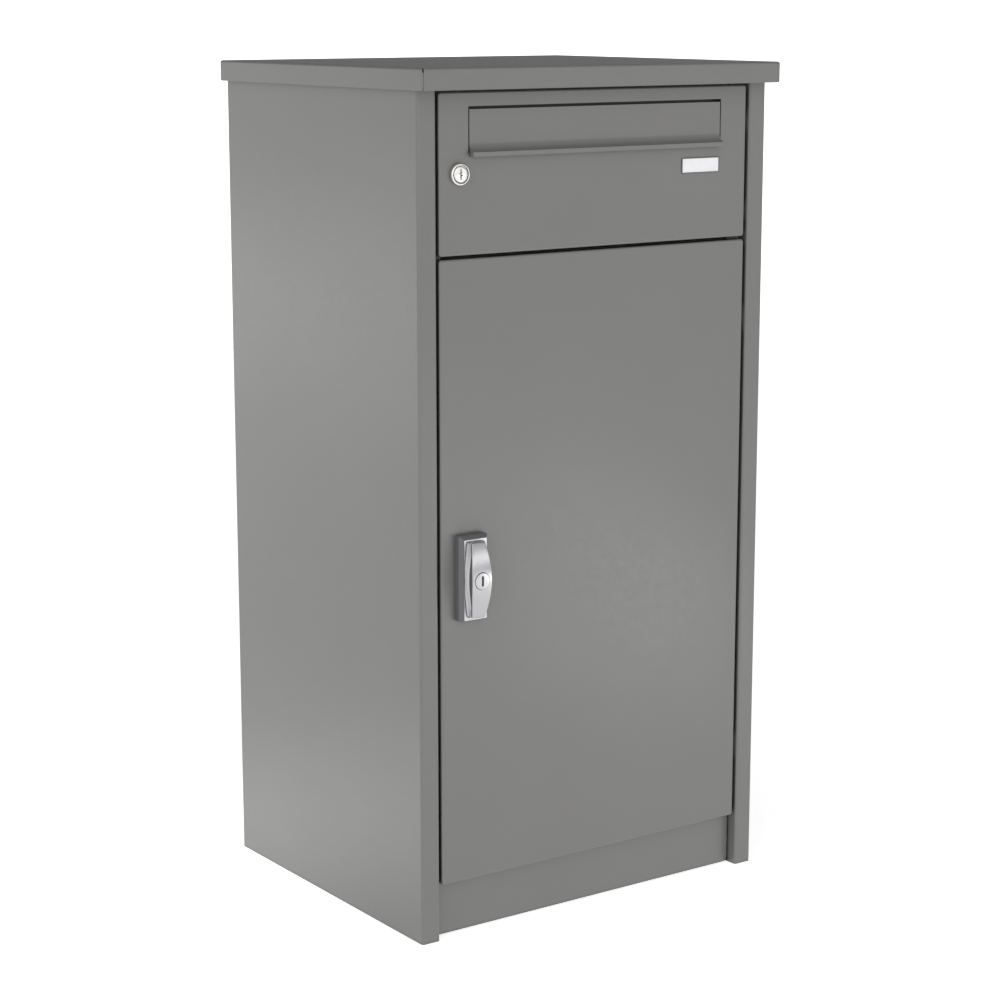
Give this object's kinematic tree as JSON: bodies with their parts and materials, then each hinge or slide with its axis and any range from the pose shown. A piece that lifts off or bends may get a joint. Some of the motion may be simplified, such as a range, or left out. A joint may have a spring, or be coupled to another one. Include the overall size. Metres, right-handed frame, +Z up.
{
  "type": "parcel drop box",
  "caption": "Free-standing steel cabinet with a hinged mail door and letter flap above a tall lockable parcel door, under an overhanging flat lid.",
  "frame": {"origin": "on the floor under the middle of the cabinet's side panels", "axes": "+Z up, -Y towards someone facing the doors, +X to that person's right"},
  "size_m": [0.4546, 0.4036, 0.892],
  "materials": {
    "powder_coat": "satin, fine textured",
    "zinc_plated_steel": "satin",
    "bright_steel": "smooth",
    "rubber": "matte",
    "anthracite": "satin",
    "satin_chrome": "satin",
    "nickel": "polished",
    "card": "matte paper",
    "clear_plastic": "clear",
    "nylon": "matte"
  },
  "bodies": {
    "cabinet": {"left_side_panel": "powder_coat", "right_side_panel": "powder_coat", "back_panel": "powder_coat", "lid": "powder_coat", "lid_nuts": "zinc_plated_steel", "floor_plate": "zinc_plated_steel", "plinth": "powder_coat", "floor_support_left": "zinc_plated_steel", "floor_support_right": "zinc_plated_steel", "parcel_floor": "powder_coat", "partition_shelf": "powder_coat", "top_rail": "powder_coat", "back_panel_rivets": "zinc_plated_steel", "hinge_screws": "zinc_plated_steel", "door_buffers": "rubber", "parcel_lower_frame_leaf": "zinc_plated_steel", "parcel_upper_frame_leaf": "zinc_plated_steel", "mail_lower_frame_leaf": "zinc_plated_steel", "mail_upper_frame_leaf": "zinc_plated_steel", "parcel_lower_hinge_pin": "bright_steel", "parcel_upper_hinge_pin": "bright_steel", "mail_lower_hinge_pin": "bright_steel", "mail_upper_hinge_pin": "bright_steel"},
    "mail_door": {"mail_door_panel": "powder_coat", "mail_lower_door_leaf": "zinc_plated_steel", "mail_upper_door_leaf": "zinc_plated_steel", "flap_frame": "nylon", "flap_hinge_rod": "bright_steel", "name_plate_frame": "anthracite", "name_card": "card", "name_window": "clear_plastic", "mail_lock_housing": "nickel", "mail_lock_nut": "zinc_plated_steel"},
    "letter_flap": {"letter_flap": "powder_coat"},
    "mail_lock": {"mail_lock_plug": "nickel", "mail_lock_cam": "zinc_plated_steel", "mail_lock_screw": "zinc_plated_steel"},
    "parcel_door": {"parcel_door_panel": "powder_coat", "door_stiffener": "zinc_plated_steel", "parcel_lower_door_leaf": "zinc_plated_steel", "parcel_upper_door_leaf": "zinc_plated_steel", "handle_housing": "anthracite", "handle_face_plate": "satin_chrome", "handle_nut": "zinc_plated_steel", "upper_rod_guide": "nylon", "lower_rod_guide": "nylon"},
    "handle": {"handle_grip": "satin_chrome", "handle_spindle": "zinc_plated_steel", "rod_driver": "zinc_plated_steel", "driver_screw": "bright_steel"},
    "key_cylinder": {"key_cylinder": "satin_chrome"},
    "upper_locking_rod": {"upper_locking_rod": "zinc_plated_steel"},
    "lower_locking_rod": {"lower_locking_rod": "zinc_plated_steel"}
  },
  "joints": [
    {"name": "mail_door_hinge", "type": "hinge", "parent": "cabinet", "child": "mail_door", "pos_m": [0.19, -0.18, 0.787], "axis": [0, 0, 1], "range_deg": [0, 100]},
    {"name": "letter_flap_hinge", "type": "hinge", "parent": "mail_door", "child": "letter_flap", "pos_m": [0, -0.1825, 0.8466], "axis": [-1, 0, 0], "range_deg": [0, 70]},
    {"name": "mail_lock_turn", "type": "hinge", "parent": "mail_door", "child": "mail_lock", "pos_m": [-0.1733, -0.186, 0.7883], "axis": [0, 1, 0], "range_deg": [0, 90]},
    {"name": "parcel_door_hinge", "type": "hinge", "parent": "cabinet", "child": "parcel_door", "pos_m": [0.19, -0.18, 0.382], "axis": [0, 0, 1], "range_deg": [0, 100]},
    {"name": "handle_turn", "type": "hinge", "parent": "parcel_door", "child": "handle", "pos_m": [-0.1619, -0.186, 0.382], "axis": [0, 1, 0], "range_deg": [0, 90]},
    {"name": "key_cylinder_turn", "type": "hinge", "parent": "handle", "child": "key_cylinder", "pos_m": [-0.1619, -0.21, 0.382], "axis": [0, 1, 0], "range_deg": [0, 90]},
    {"name": "upper_rod_slide", "type": "slide", "parent": "parcel_door", "child": "upper_locking_rod", "axis": [0, 0, 1], "range_m": [0, 0.01555]},
    {"name": "lower_rod_slide", "type": "slide", "parent": "parcel_door", "child": "lower_locking_rod", "axis": [0, 0, -1], "range_m": [0, 0.01557]}
  ],
  "couplings": [
    {"joint": "handle_turn", "follows": "upper_rod_slide", "rad_per_m": 100.97},
    {"joint": "lower_rod_slide", "follows": "upper_rod_slide", "ratio": 1}
  ]
}
